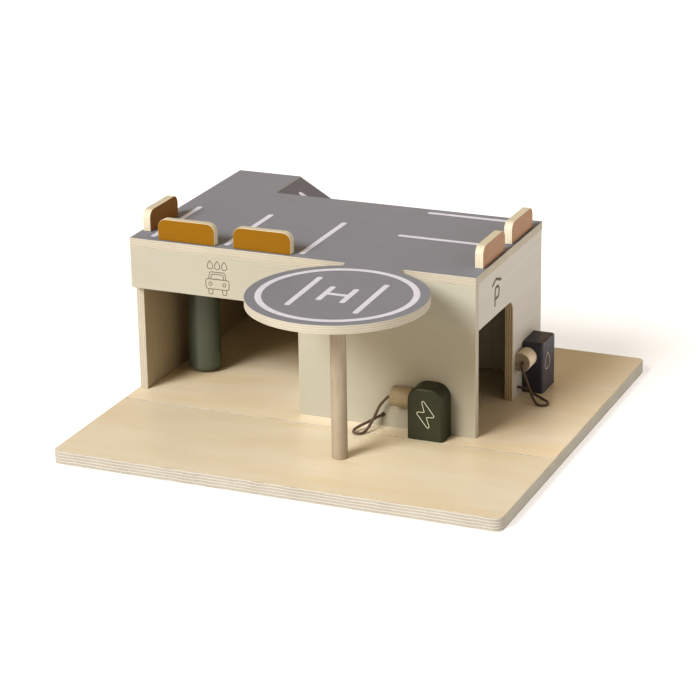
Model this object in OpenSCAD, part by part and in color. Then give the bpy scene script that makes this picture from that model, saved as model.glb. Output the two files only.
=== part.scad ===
// Toy parking garage in birch plywood: a two-part ground board, a garage hall
// with a grey roof deck, a helicopter pad on a post, a ramp behind the hall,
// a car-wash bay with a turning roller, and a charger and a fuel pump, each
// with a wooden plug on a cord.
// Frame: origin at the middle of the ground board's underside, +X to the
// right seen from the front, +Y to the back, +Z up, millimetres.

/* [Ground board] */
// Width of the ground board
base_w = 480; // [460:5:540]
// Depth of the ground board, front to back
base_d = 466; // [462:2:500]
// Thickness of the ground board
base_t = 14; // [12:1:18]
// Depth of the front one of its two boards
front_board_d = 158; // [130:2:170]
// Radius of the board's four corners
base_corner_r = 10; // [3:1:16]
// Chamfer that eases the boards' edges
base_ease = 0.8; // [0.4:0.2:2]
// Diameter of the dowels that join the two boards
base_dowel_d = 6; // [5:0.5:8]
// Length of the dowels that join the two boards
base_dowel_l = 30; // [20:2:50]
// Number of dowels that join the two boards
base_dowel_count = 4; // [3:1:6]

/* [Hall] */
// Thickness of the plywood of walls, roof and ramp
ply_t = 9; // [8:0.5:12]
// Width of the roof deck over the hall
hall_w = 385; // [370:5:400]
// Depth of the roof deck over the hall
hall_d = 203; // [195:1:215]
// Height of the roof's top above the ground board
roof_h = 171; // [160:1:185]
// Distance from the board's left edge to the roof's left edge
hall_left = 2.5; // [1:0.5:8]
// Distance from the board's front edge to the hall's front
hall_front = 181; // [176:1:186]
// How far the roof stands past the side walls' faces
roof_overhang = 0.5; // [0.5:0.5:2]
// Clear width of the car-wash bay
wash_bay_w = 181; // [170:1:195]
// Height of the car-wash bay's opening
wash_opening_h = 116; // [95:1:125]
// Radius of the front panel's lower left corner
fascia_corner_r = 3; // [1:0.5:6]

/* [Side doorway] */
// Width of the doorway in the right wall
door_w = 104; // [85:1:115]
// Height of the doorway in the right wall
door_h = 112; // [90:1:120]
// Radius of the doorway's upper back corner
door_corner_r = 12; // [4:1:20]

/* [Ramp] */
// Width of the landing at the ramp's upper end
landing_w = 75.7; // [60:0.1:95]
// Width of the ramp across its lane
ramp_w = 68.5; // [60:0.5:76]
// Length of the ramp along the ground
ramp_run = 290; // [250:5:300]
// Step from the landing down to the ramp's face
ramp_step = 0.8; // [0.2:0.2:2]

/* [Helicopter pad] */
// Radius of the round pad
pad_r = 91; // [84:1:94]
// Width of the neck that joins the pad to the roof
neck_w = 62; // [45:1:80]
// Radius of the fillets at both ends of the neck
neck_fillet_r = 3; // [1:0.5:3.5]
// Pad's centre, to the right of the roof's left edge
pad_x = 276; // [262:1:282]
// Pad's centre, in front of the hall's front
pad_y = 94; // [90:1:98]
// Diameter of the post under the pad
post_d = 16; // [12:1:24]

/* [Bumpers] */
// Length of a roof bumper
bumper_l = 65; // [50:1:72]
// Height of a roof bumper
bumper_h = 23; // [16:1:30]
// Thickness of a roof bumper
bumper_t = 9; // [8:0.5:12]
// Radius of a bumper's two upper corners
bumper_corner_r = 9; // [3:0.5:12]
// Distance from the roof's edge to a bumper
bumper_setback = 3; // [1:0.5:6]
// Width of a parking bay on the roof
bay_w = 86; // [78:1:92]
// Middle of the first front bay, from the roof's left edge
front_bay_x = 64.7; // [55:0.1:72]
// Middle of the left bay, behind the hall's front
left_bay_y = 58; // [45:1:80]
// Middle of the first right bay, behind the hall's front
right_bay_y = 61.5; // [50:0.5:75]

/* [Charger] */
// Width of the charger block
charger_w = 39; // [30:0.5:45]
// Depth of the charger block, out from the wall
charger_d = 23; // [16:0.5:30]
// Height of the charger block
charger_h = 56; // [52:0.5:70]
// Radius of the charger's two upper corners
charger_arch_r = 15; // [6:0.5:15]
// Middle of the charger, from the roof's left edge
charger_x = 339; // [330:0.5:350]
// Height of its plug's axis above the ground board
charger_plug_h = 37; // [31:0.5:38]

/* [Fuel pump] */
// Width of the pump block, front to back
pump_w = 40; // [30:0.5:45]
// Depth of the pump block, out from the wall
pump_d = 23; // [16:0.5:30]
// Height of the pump block
pump_h = 56; // [52:0.5:70]
// Middle of the pump, behind the hall's front
pump_y = 163; // [150:1:175]
// Height of its plug's axis above the ground board
pump_plug_h = 40.5; // [31:0.5:42]
// Radius of the upright edges of both blocks
block_edge_r = 3; // [1:0.5:5]
// Radius of the blocks' upper front edge
block_top_r = 2; // [0.5:0.5:4]

/* [Plugs] */
// Diameter of a wooden plug
plug_d = 21; // [18:0.5:26]
// Length of a wooden plug
plug_l = 22; // [16:0.5:30]
// Distance from a plug's axis to its flat side
plug_flat = 6; // [5:0.1:8]
// Radius that eases a plug's end edges
plug_ease = 1; // [0.4:0.2:2]
// Diameter of the round magnets
magnet_d = 8; // [6:0.5:10]
// Thickness of the round magnets
magnet_t = 3; // [2:0.5:4]
// Gap around a magnet in its pocket
magnet_gap = 0.05; // [0.02:0.01:0.2]

/* [Cords] */
// Diameter of the cords
cord_d = 3; // [2:0.1:3.2]
// Diameter of the cord holes in the walls and plugs
cord_hole_d = 4; // [3.8:0.1:6]
// Depth of the cord hole in a plug
cord_hole_depth = 9; // [5:0.5:12]
// Distance of the cord hole from a plug's axis, away from its flat side
cord_hole_off = 2.2; // [0:0.1:3]
// Charger cord's hole, from the roof's left edge
charger_hole_x = 284.5; // [280:0.5:300]
// Charger cord's hole, above the ground board
charger_hole_h = 12.5; // [6:0.5:30]
// Pump cord's hole, behind the hall's front
pump_hole_y = 130; // [120:0.5:134]
// Pump cord's hole, above the ground board
pump_hole_h = 9.5; // [6:0.5:25]
// Diameter of the stop knots behind the walls
knot_d = 9; // [7:0.5:12]
// Length of the stop knots
knot_l = 6; // [4:0.5:10]

/* [Car-wash roller] */
// Diameter of the roller
roller_d = 35; // [26:1:44]
// Roller's axis, from the roof's left edge
roller_x = 40; // [34:0.5:60]
// Roller's axis, behind the hall's front
roller_y = 87; // [50:1:110]
// Radius of the roller's end edges
roller_edge_r = 5; // [1:0.5:6]
// Diameter of the dowel that the roller turns on
axle_d = 8; // [6:0.5:12]
// Depth of the axle's blind hole in the ground board
axle_seat = 8; // [5:1:10]
// Diameter of the washers at the roller's ends
washer_d = 18; // [14:1:24]
// Thickness of the washers
washer_t = 2; // [1:0.5:3]
// Play of the roller between its washers
roller_play = 0.4; // [0.2:0.1:0.8]
// Radial running gap of the roller on its axle
running_gap = 0.08; // [0.04:0.01:0.1]

/* [Dowels and screws] */
// Diameter of the dowels between roof and walls
roof_dowel_d = 5; // [4:0.5:6]
// Diameter of the pegs under the bumpers
bumper_peg_d = 4; // [3:0.5:6]
// Distance between the two pegs of a bumper
bumper_peg_gap = 40; // [25:1:44]
// Depth of dowel and peg holes in the roof
roof_hole_depth = 3.9; // [3:0.1:3.9]
// Length of a dowel below the roof
roof_dowel_depth = 12; // [8:1:20]
// Length of a peg inside a bumper
bumper_peg_depth = 9; // [6:1:12]
// Depth of the post's blind hole in the ground board
post_seat = 8; // [5:1:10]
// Shank diameter of the wood screws
screw_d = 3.6; // [3:0.1:4.5]
// Head diameter of the wood screws
screw_head_d = 7; // [6:0.5:9]
// Height of the countersunk head
screw_head_h = 2.8; // [2:0.1:4]
// Length of the wood screws
screw_l = 28; // [24:1:32]
// Depth of the heads below the face they are sunk in
screw_sink = 0.4; // [0.2:0.1:1]
// Radius of the screws' blunt points
screw_tip_r = 0.4; // [0.2:0.1:0.8]
// Radial gap of glued dowels, screws and the cords' holes
glue_gap = 0.05; // [0.02:0.01:0.15]

/* [Hidden] */
$fn = 96;
tiny = 0.01;
plan_overlap = 1;

// Colours, as on the toy
birch = "#dccbaa";
birch_yellow = "#d8c294";
wall_cream = "#d8d0bc";
roof_grey = "#8a878b";
ochre = "#a8740f";
blush = "#b0876a";
dark_green = "#3c3f2c";
charcoal = "#3a3a40";
wash_green = "#49513c";
beech = "#cfc0a0";
cord_brown = "#5d4a42";
steel = "#b9bbbd";

// Planes that the pieces share
base_left = -base_w / 2;
base_front = -base_d / 2;
seam_y = base_front + front_board_d;
roof_left = base_left + hall_left;
roof_right = roof_left + hall_w;
roof_top = base_t + roof_h;
roof_under = roof_top - ply_t;
front_y = base_front + hall_front;
wall_front_y = front_y + ply_t;
hall_back_y = front_y + hall_d;
ramp_back_y = hall_back_y + ramp_w;
left_face = roof_left + roof_overhang;
right_face = roof_right - roof_overhang;
bay_right = left_face + ply_t + wash_bay_w;
landing_right = roof_left + landing_w;
cheek_y = ramp_back_y - ply_t;
wall_h = roof_under - base_t;

// The ramp's slope: its face falls from the landing to the ground board
ramp_top = roof_top - ramp_step;
ramp_toe_x = landing_right + ramp_run;
ramp_angle = atan((ramp_top - base_t) / ramp_run);
ramp_drop = ply_t / cos(ramp_angle);
ramp_heel_x = ramp_toe_x - ramp_drop / tan(ramp_angle);

// Centres of the pad, the roller, the blocks, the plugs and the cord holes
pad_cx = roof_left + pad_x;
pad_cy = front_y - pad_y;
roller_cx = roof_left + roller_x;
roller_cy = front_y + roller_y;
charger_cx = roof_left + charger_x;
charger_left = charger_cx - charger_w / 2;
charger_plug_y = front_y - plug_flat;
charger_plug_z = base_t + charger_plug_h;
pump_cy = front_y + pump_y;
pump_front = pump_cy - pump_w / 2;
pump_plug_x = right_face + plug_flat;
pump_plug_z = base_t + pump_plug_h;
charger_hole = [roof_left + charger_hole_x, base_t + charger_hole_h];
pump_hole = [front_y + pump_hole_y, base_t + pump_hole_h];

// Places of the dowels and screws, spread evenly between two ends
function spread(a, b, count) = [for (i = [0 : count - 1]) a + (b - a) * i / (count - 1)];
dowel_inset = 18;
panel_mid_y = front_y + ply_t / 2;
left_mid_x = left_face + ply_t / 2;
right_mid_x = right_face - ply_t / 2;
partition_mid_x = bay_right + ply_t / 2;
back_mid_y = hall_back_y - ply_t / 2;
cheek_mid_y = ramp_back_y - ply_t / 2;
door_back_y = wall_front_y + door_w;

roof_dowel_places = concat(
  [for (x = spread(roof_left + dowel_inset, roof_right - dowel_inset, 5)) [x, panel_mid_y]],
  [for (y = spread(wall_front_y + dowel_inset, cheek_y - dowel_inset, 3)) [left_mid_x, y]],
  [for (y = spread(wall_front_y + dowel_inset, hall_back_y - dowel_inset, 3)) [right_mid_x, y]],
  [for (y = spread(wall_front_y + dowel_inset, hall_back_y - dowel_inset, 2)) [partition_mid_x, y]],
  [for (x = spread(bay_right + 2 * dowel_inset, right_face - 2 * dowel_inset, 2)) [x, back_mid_y]],
  [for (x = spread(left_face + dowel_inset, landing_right - dowel_inset, 2)) [x, cheek_mid_y]]
);

wall_screw_places = concat(
  [for (x = spread(bay_right + dowel_inset, roof_right - dowel_inset, 4)) [x, panel_mid_y]],
  [for (y = spread(wall_front_y + dowel_inset, cheek_y - dowel_inset, 3)) [left_mid_x, y]],
  [for (y = spread(door_back_y + 2 * dowel_inset, hall_back_y - dowel_inset, 2)) [right_mid_x, y]],
  [for (y = spread(wall_front_y + dowel_inset, hall_back_y - dowel_inset, 3)) [partition_mid_x, y]],
  [for (x = spread(bay_right + 2 * dowel_inset, right_face - 2 * dowel_inset, 3)) [x, back_mid_y]],
  [for (x = spread(left_face + dowel_inset, ramp_heel_x - 4 * dowel_inset, 4)) [x, cheek_mid_y]]
);

// Bumpers as [middle x, middle y, angle of the bumper's length from the X axis]
front_bumper_y = front_y + bumper_setback + bumper_t / 2;
left_bumper_x = roof_left + bumper_setback + bumper_t / 2;
right_bumper_x = roof_right - bumper_setback - bumper_t / 2;
front_left_place = [roof_left + front_bay_x, front_bumper_y, 0];
front_right_place = [roof_left + front_bay_x + bay_w, front_bumper_y, 0];
left_place = [left_bumper_x, front_y + left_bay_y, 90];
right_front_place = [right_bumper_x, front_y + right_bay_y, 90];
right_back_place = [right_bumper_x, front_y + right_bay_y + bay_w, 90];
bumper_places = [front_left_place, front_right_place, left_place, right_front_place, right_back_place];

// Heights of the two screws that hold each block, as shares of the block's height
low_screw_share = 0.25;
charger_top_screw_share = 0.75;
pump_top_screw_share = 0.6;
charger_screw_z = [base_t + charger_h * low_screw_share, base_t + charger_h * charger_top_screw_share];
pump_screw_z = [base_t + pump_h * low_screw_share, base_t + pump_h * pump_top_screw_share];

// The charger cord: out of its plug, down in a loop on the board, back up
// into the wall. Each point is [x, y, z] on the cord's centre line.
charger_cord_route = [
  [69, -60.2, 51], [64.5, -60.2, 51], [60, -60.2, 51], [56.4, -60.2, 50], [53.4, -60.2, 47.4],
  [50.2, -60.2, 43.8], [46.6, -60.4, 39], [44.2, -61.4, 33.8], [42.4, -63.8, 28.6],
  [40.8, -67.6, 23.8], [39.4, -72.4, 19.6], [38, -77.6, 16.8], [36, -82, 15.6],
  [32.8, -85, 15.6], [28.8, -85, 15.7], [26.1, -81.8, 16.2], [26.6, -77, 17.4],
  [30.2, -71.4, 19.3], [35, -66, 21.4], [39.4, -61, 23.4], [43.6, -56.2, 25.4], [47, -52, 26.5],
  [47, -47.5, 26.5], [47, -43, 26.5]
];

// The fuel cord: the same on the right side of the hall
fuel_cord_route = [
  [155.2, 78, 54.5], [155.2, 73.5, 54.5], [155.2, 69, 54.5], [155.6, 65.6, 52.8],
  [156.9, 64.2, 48.6], [158.9, 64.4, 43], [161, 64.8, 37.2], [163, 65, 31.6],
  [165.4, 64.5, 26.2], [168.6, 62.6, 21], [172.2, 59.6, 17.4], [175.8, 56.8, 15.8],
  [179.6, 55.2, 15.6], [183.4, 56.2, 15.6], [185.7, 59.4, 15.8], [185.4, 63.2, 16.2],
  [182.8, 66.2, 16.8], [178.2, 68.4, 17.6], [172, 71.2, 18.8], [165.4, 74, 20.2],
  [159, 76.4, 21.8], [153, 78, 23.2], [147, 78, 23.5], [142.5, 78, 23.5], [138, 78, 23.5]
];
cord_sides = 8;

// Rectangle with all four corners rounded, from [x, y] on
module rounded_rect(x, y, w, d, r) {
  translate([x, y]) {
    translate([r, 0]) square([w - 2 * r, d]);
    translate([0, r]) square([w, d - 2 * r]);
    for (cx = [r, w - r], cy = [r, d - r]) translate([cx, cy]) circle(r);
  }
}

// Rectangle with its two upper corners rounded, standing on [x, y]
module arched_rect(x, y, w, h, r) {
  translate([x, y]) {
    square([w, h - r]);
    translate([r, 0]) square([w - 2 * r, h]);
    for (cx = [r, w - r]) translate([cx, h - r]) circle(r);
  }
}

// Rectangle with a chamfer on all four corners, from [x, y] on
module eased_rect(x, y, w, h, ease) {
  polygon([
    [x + ease, y], [x + w - ease, y], [x + w, y + ease], [x + w, y + h - ease],
    [x + w - ease, y + h], [x + ease, y + h], [x, y + h - ease], [x, y + ease]
  ]);
}

// Extrudes an X-Z outline from y0 to y1
module along_y(y0, y1) {
  translate([0, y1, 0]) rotate([90, 0, 0]) linear_extrude(y1 - y0) children();
}

// Extrudes a Y-Z outline from x0 to x1
module along_x(x0, x1) {
  translate([x0, 0, 0]) rotate([90, 0, 90]) linear_extrude(x1 - x0) children();
}

// Upright round rod or hole from z0 to z1 at [x, y]
module upright(place, d, z0, z1) {
  translate([place[0], place[1], z0]) cylinder(d = d, h = z1 - z0);
}

// Round rod or hole along +X or along +Y, of a given length
module rod_x(x, y, z, d, l) {
  translate([x, y, z]) rotate([0, 90, 0]) cylinder(d = d, h = l);
}
module rod_y(x, y, z, d, l) {
  translate([x, y, z]) rotate([-90, 0, 0]) cylinder(d = d, h = l);
}

// Countersunk wood screw along +Z, its head's face at the origin.
// With a gap it is the hole that the screw sits in, open below.
module wood_screw(gap) {
  head_r = screw_head_d / 2 + gap;
  shank_r = screw_d / 2 + gap;
  point_h = screw_d;
  rotate_extrude() polygon([
    [0, 0], [head_r, 0], [shank_r, screw_head_h], [shank_r, screw_l - point_h],
    [screw_tip_r + gap, screw_l + gap], [0, screw_l + gap]
  ]);
  if (gap > 0) translate([0, 0, -screw_sink - tiny]) cylinder(r = head_r, h = screw_sink + 2 * tiny);
}

// Screws that hold the walls, upwards through the ground board
module wall_screw_set(gap) {
  for (p = wall_screw_places) translate([p[0], p[1], screw_sink]) wood_screw(gap);
}

// Screws that hold the two blocks, outwards through the walls
module block_screw_set(gap) {
  for (z = charger_screw_z)
    translate([charger_cx, wall_front_y - screw_sink, z]) rotate([90, 0, 0]) wood_screw(gap);
  for (z = pump_screw_z)
    translate([right_face - ply_t + screw_sink, pump_cy, z]) rotate([0, 90, 0]) wood_screw(gap);
}

// Dowels between the roof and the walls below it
module roof_dowel_set(gap) {
  for (p = roof_dowel_places)
    upright(p, roof_dowel_d + 2 * gap, roof_under - roof_dowel_depth - gap, roof_under + roof_hole_depth + gap);
}

// Two pegs under each bumper
module bumper_peg_set(gap) {
  for (b = bumper_places, side = [-0.5, 0.5])
    translate([b[0], b[1], 0]) rotate(b[2])
      upright([side * bumper_peg_gap, 0], bumper_peg_d + 2 * gap,
        roof_top - roof_hole_depth - gap, roof_top + bumper_peg_depth + gap);
}

// Dowels across the seam of the ground board
module base_dowel_set(gap) {
  for (x = spread(base_left + 3 * dowel_inset, -base_left - 3 * dowel_inset, base_dowel_count))
    rod_y(x, seam_y - base_dowel_l / 2 - gap, base_t / 2, base_dowel_d + 2 * gap, base_dowel_l + 2 * gap);
}

// Height of the ramp's face at x
function ramp_face_z(x) = ramp_top - (x - landing_right) * tan(ramp_angle);

// Dowels that hold the ramp: into the cheek, square to the slope, and level
// into the edge of the back wall's face
module ramp_dowel_set(gap) {
  d = bumper_peg_d + 2 * gap;
  for (x = spread(landing_right + dowel_inset, ramp_heel_x - 4 * dowel_inset, 3))
    translate([x, cheek_mid_y, ramp_face_z(x) - ramp_drop]) rotate([0, ramp_angle, 0])
      translate([0, 0, -roof_dowel_depth - gap])
        cylinder(d = d, h = roof_dowel_depth + roof_hole_depth + 2 * gap);
  for (x = spread(bay_right + 2 * dowel_inset, bay_right + 5 * dowel_inset, 2))
    rod_y(x, hall_back_y - roof_hole_depth - gap, ramp_face_z(x) - ramp_drop / 2, d,
      roof_hole_depth + roof_dowel_depth + 2 * gap);
}

// Plan of the whole ground board, and one board of it between two depths
module ground_board(y0, y1) {
  intersection() {
    linear_extrude(base_t) rounded_rect(base_left, base_front, base_w, base_d, base_corner_r);
    along_x(base_left, -base_left) eased_rect(y0, 0, y1 - y0, base_t, base_ease);
    along_y(y0, y1) eased_rect(base_left, 0, base_w, base_t, base_ease);
  }
}

// Front board of the ground board, which carries the post of the pad
module base_front_board() {
  color(birch_yellow) difference() {
    ground_board(base_front, seam_y);
    base_dowel_set(glue_gap);
    upright([pad_cx, pad_cy], post_d + 2 * glue_gap, base_t - post_seat - glue_gap, base_t + tiny);
  }
}

// Back board of the ground board, which carries the hall
module base_back_board() {
  color(birch) difference() {
    ground_board(seam_y, -base_front);
    base_dowel_set(glue_gap);
    wall_screw_set(glue_gap);
    upright([roller_cx, roller_cy], axle_d + 2 * glue_gap, base_t - axle_seat - glue_gap, base_t + tiny);
  }
}

module base_dowels() {
  color(beech) base_dowel_set(0);
}

// Front of the hall: the fascia over the car-wash bay and the panel beside it
module front_panel() {
  fascia_z = base_t + wash_opening_h;
  panel_left = roof_left;
  color(wall_cream) difference() {
    along_y(front_y, wall_front_y) difference() {
      union() {
        translate([panel_left, fascia_z]) square([hall_w, roof_under - fascia_z]);
        translate([bay_right, base_t]) square([roof_right - bay_right, roof_under - base_t]);
      }
      translate([panel_left - tiny, fascia_z - tiny]) difference() {
        square(fascia_corner_r + tiny);
        translate([fascia_corner_r + tiny, fascia_corner_r + tiny]) circle(fascia_corner_r);
      }
      translate(charger_hole) circle(d = cord_hole_d);
    }
    wall_screw_set(glue_gap);
    block_screw_set(glue_gap);
    roof_dowel_set(glue_gap);
  }
}

// Left wall of the car-wash bay
module left_wall() {
  color(wall_cream) difference() {
    along_x(left_face, left_face + ply_t)
      translate([wall_front_y, base_t]) square([cheek_y - wall_front_y, wall_h]);
    wall_screw_set(glue_gap);
    roof_dowel_set(glue_gap);
  }
}

// Right wall, with the doorway that leads into the hall
module right_wall() {
  door_top = base_t + door_h;
  color(wall_cream) difference() {
    along_x(right_face - ply_t, right_face) difference() {
      translate([wall_front_y, base_t]) square([hall_back_y - wall_front_y, wall_h]);
      translate([wall_front_y - tiny, base_t - tiny]) square([door_w + tiny - door_corner_r, door_h + tiny]);
      translate([wall_front_y - tiny, base_t - tiny]) square([door_w + tiny, door_h + tiny - door_corner_r]);
      translate([door_back_y - door_corner_r, door_top - door_corner_r]) circle(door_corner_r);
      translate(pump_hole) circle(d = cord_hole_d);
    }
    wall_screw_set(glue_gap);
    block_screw_set(glue_gap);
    roof_dowel_set(glue_gap);
  }
}

// Wall between the car-wash bay and the parking hall
module partition_wall() {
  color(wall_cream) difference() {
    along_x(bay_right, bay_right + ply_t)
      translate([wall_front_y, base_t]) square([hall_back_y - wall_front_y, wall_h]);
    wall_screw_set(glue_gap);
    roof_dowel_set(glue_gap);
  }
}

// Back wall of the parking hall, beside the ramp
module back_wall() {
  color(wall_cream) difference() {
    along_y(hall_back_y - ply_t, hall_back_y)
      translate([bay_right + ply_t, base_t])
        square([right_face - ply_t - bay_right - ply_t, wall_h]);
    wall_screw_set(glue_gap);
    roof_dowel_set(glue_gap);
    ramp_dowel_set(glue_gap);
  }
}

// Cheek that carries the landing and the ramp along the back edge
module ramp_cheek() {
  color(wall_cream) difference() {
    along_y(cheek_y, ramp_back_y) polygon([
      [left_face, base_t], [ramp_heel_x, base_t],
      [landing_right, ramp_top - ramp_drop],
      [landing_right, roof_under], [left_face, roof_under]
    ]);
    wall_screw_set(glue_gap);
    roof_dowel_set(glue_gap);
    ramp_dowel_set(glue_gap);
  }
}

// Neck from the pad's edge to the hall's front, the pad's centre at the origin.
// It is as wide as the outer ends of its fillets, and a round at each fillet
// and a strip between the two rounds are cut away on both sides.
module neck_plan() {
  arm = pad_r + neck_fillet_r;
  reach = neck_w / 2 + neck_fillet_r;
  rise = sqrt(arm * arm - reach * reach);
  start = rise * pad_r / arm;
  difference() {
    translate([-reach, start]) square([2 * reach, pad_y - start + plan_overlap]);
    for (side = [-1, 1]) {
      for (y = [rise, pad_y - neck_fillet_r]) translate([side * reach, y]) circle(neck_fillet_r);
      translate([side > 0 ? neck_w / 2 : -reach - tiny, rise])
        square([neck_fillet_r + tiny, pad_y - neck_fillet_r - rise]);
    }
  }
}

// Plan of the roof: deck over the hall, landing, neck and round pad in one board
module roof_plan() {
  translate([roof_left, front_y]) square([hall_w, hall_d]);
  translate([roof_left, hall_back_y - plan_overlap]) square([landing_w, ramp_w + plan_overlap]);
  translate([pad_cx, pad_cy]) {
    circle(pad_r, $fn = 180);
    neck_plan();
  }
}

module roof_deck() {
  color(roof_grey) difference() {
    translate([0, 0, roof_under]) linear_extrude(ply_t) roof_plan();
    roof_dowel_set(glue_gap);
    bumper_peg_set(glue_gap);
    upright([pad_cx, pad_cy], post_d + 2 * glue_gap, roof_under - tiny, roof_under + roof_hole_depth + glue_gap);
    upright([roller_cx, roller_cy], axle_d + 2 * glue_gap, roof_under - tiny, roof_under + roof_hole_depth + glue_gap);
  }
}

// Post under the pad, glued into a blind hole at each end
module helipad_post() {
  color(beech) upright([pad_cx, pad_cy], post_d, base_t - post_seat, roof_under + roof_hole_depth);
}

// Ramp from the landing down to the ground board, its toe cut flat on the board
module ramp_board() {
  color(roof_grey) difference() {
    along_y(hall_back_y, ramp_back_y) polygon([
      [landing_right, ramp_top], [landing_right, ramp_top - ramp_drop],
      [ramp_heel_x, base_t], [ramp_toe_x, base_t]
    ]);
    ramp_dowel_set(glue_gap);
  }
}

module ramp_dowels() {
  color(beech) ramp_dowel_set(0);
}

// One roof bumper, standing on the roof with its length along X at the origin
module bumper_shape(place) {
  color(place[2] == 0 || place == left_place ? ochre : blush) difference() {
    translate([place[0], place[1], 0]) rotate(place[2])
      along_y(-bumper_t / 2, bumper_t / 2)
        arched_rect(-bumper_l / 2, roof_top, bumper_l, bumper_h, bumper_corner_r);
    bumper_peg_set(glue_gap);
  }
}
module front_left_bumper() { bumper_shape(front_left_place); }
module front_right_bumper() { bumper_shape(front_right_place); }
module left_bumper() { bumper_shape(left_place); }
module right_front_bumper() { bumper_shape(right_front_place); }
module right_back_bumper() { bumper_shape(right_back_place); }

module bumper_pegs() {
  color(beech) bumper_peg_set(0);
}

module roof_dowels() {
  color(beech) roof_dowel_set(0);
}

module wall_screws() {
  color(steel) wall_screw_set(0);
}

module block_screws() {
  color(steel) block_screw_set(0);
}

// Charger: a block with an arched top, its plug held on its left side
module charger_block() {
  charger_front = front_y - charger_d;
  color(dark_green) difference() {
    intersection() {
      along_y(charger_front, front_y)
        arched_rect(charger_left, base_t, charger_w, charger_h, charger_arch_r);
      translate([0, 0, base_t]) linear_extrude(charger_h)
        rounded_rect(charger_left, charger_front, charger_w, charger_d + block_edge_r, block_edge_r);
      along_x(charger_left, charger_left + charger_w)
        arched_rect(charger_front, base_t, charger_d + block_top_r, charger_h, block_top_r);
    }
    block_screw_set(glue_gap);
    rod_x(charger_left - tiny, charger_plug_y, charger_plug_z,
      magnet_d + 2 * magnet_gap, magnet_t + magnet_gap + tiny);
  }
}

// Fuel pump: a plain block, its plug held on its front side
module fuel_pump_block() {
  color(charcoal) difference() {
    intersection() {
      along_x(right_face, right_face + pump_d)
        rounded_rect(pump_front, base_t - block_top_r, pump_w, pump_h + block_top_r, block_top_r);
      translate([0, 0, base_t]) linear_extrude(pump_h)
        rounded_rect(right_face - block_edge_r, pump_front, pump_d + block_edge_r, pump_w, block_edge_r);
      along_y(pump_front, pump_front + pump_w)
        arched_rect(right_face - block_top_r, base_t, pump_d + block_top_r, pump_h, block_top_r);
    }
    block_screw_set(glue_gap);
    rod_y(pump_plug_x, pump_front - tiny, pump_plug_z,
      magnet_d + 2 * magnet_gap, magnet_t + magnet_gap + tiny);
  }
}

// Magnets sunk flush in the blocks, facing the plugs
module block_magnets() {
  color(steel) {
    rod_x(charger_left, charger_plug_y, charger_plug_z, magnet_d, magnet_t);
    rod_y(pump_plug_x, pump_front, pump_plug_z, magnet_d, magnet_t);
  }
}

// Wooden plug along +Z from the origin, cord hole below, magnet pocket above,
// its flat side towards +X
module plug_shape() {
  r = plug_d / 2;
  difference() {
    intersection() {
      rotate_extrude() {
        translate([0, plug_ease]) square([r, plug_l - 2 * plug_ease]);
        square([r - plug_ease, plug_l]);
        for (z = [plug_ease, plug_l - plug_ease]) translate([r - plug_ease, z]) circle(plug_ease);
      }
      translate([-r, -r, 0]) cube([r + plug_flat, 2 * r, plug_l]);
    }
    translate([-cord_hole_off, 0, -tiny]) cylinder(d = cord_hole_d, h = cord_hole_depth + tiny);
    translate([0, 0, plug_l - magnet_t - magnet_gap])
      cylinder(d = magnet_d + 2 * magnet_gap, h = magnet_t + magnet_gap + tiny);
  }
}

// Charger plug: along +X to the charger's side, its flat on the front panel
module charger_plug() {
  color(beech) translate([charger_left - plug_l, charger_plug_y, charger_plug_z])
    rotate([0, 90, 0]) rotate(90) plug_shape();
}

// Fuel plug: along +Y to the pump's front, its flat on the right wall
module fuel_plug() {
  color(beech) translate([pump_plug_x, pump_front - plug_l, pump_plug_z])
    rotate([-90, 0, 0]) rotate(180) plug_shape();
}

module charger_plug_magnet() {
  color(steel) rod_x(charger_left - magnet_t, charger_plug_y, charger_plug_z, magnet_d, magnet_t);
}

module fuel_plug_magnet() {
  color(steel) rod_y(pump_plug_x, pump_front - magnet_t, pump_plug_z, magnet_d, magnet_t);
}

// Sweeps a round tube along a route, carrying each ring's direction on from
// the ring before, so that the tube doesn't twist
function unit(v) = v / norm(v);
function course(route, i) = unit(route[min(i + 1, len(route) - 1)] - route[max(i - 1, 0)]);
function square_to(v, t) = unit(v - (v * t) * t);
function ring_axes(route, i, side) =
  i == len(route) ? [] :
  let (t = course(route, i), u = square_to(side, t))
  concat([[u, cross(t, u)]], ring_axes(route, i + 1, u));

module swept_tube(route, d, sides) {
  axes = ring_axes(route, 0, [0, 0, 1]);
  last = len(route) - 1;
  points = [for (i = [0 : last], k = [0 : sides - 1])
    route[i] + d / 2 * (cos(360 * k / sides) * axes[i][0] + sin(360 * k / sides) * axes[i][1])];
  walls = [for (i = [0 : last - 1], k = [0 : sides - 1])
    [i * sides + k, (i + 1) * sides + k, (i + 1) * sides + (k + 1) % sides, i * sides + (k + 1) % sides]];
  start_cap = [[for (k = [0 : sides - 1]) k]];
  end_cap = [[for (k = [sides - 1 : -1 : 0]) last * sides + k]];
  polyhedron(points, concat(start_cap, end_cap, walls));
}

module charger_cord() {
  color(cord_brown) swept_tube(charger_cord_route, cord_d, cord_sides);
}

module fuel_cord() {
  color(cord_brown) swept_tube(fuel_cord_route, cord_d, cord_sides);
}

// Stop knot along +Z from the origin, its flat end on the wall
module knot_shape() {
  r = knot_d / 2;
  bulge = knot_l / 3;
  rotate_extrude() {
    square([r - bulge, knot_l]);
    translate([0, bulge]) square([r, knot_l - 2 * bulge]);
    for (z = [bulge, knot_l - bulge]) translate([r - bulge, z]) circle(bulge);
  }
}

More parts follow.
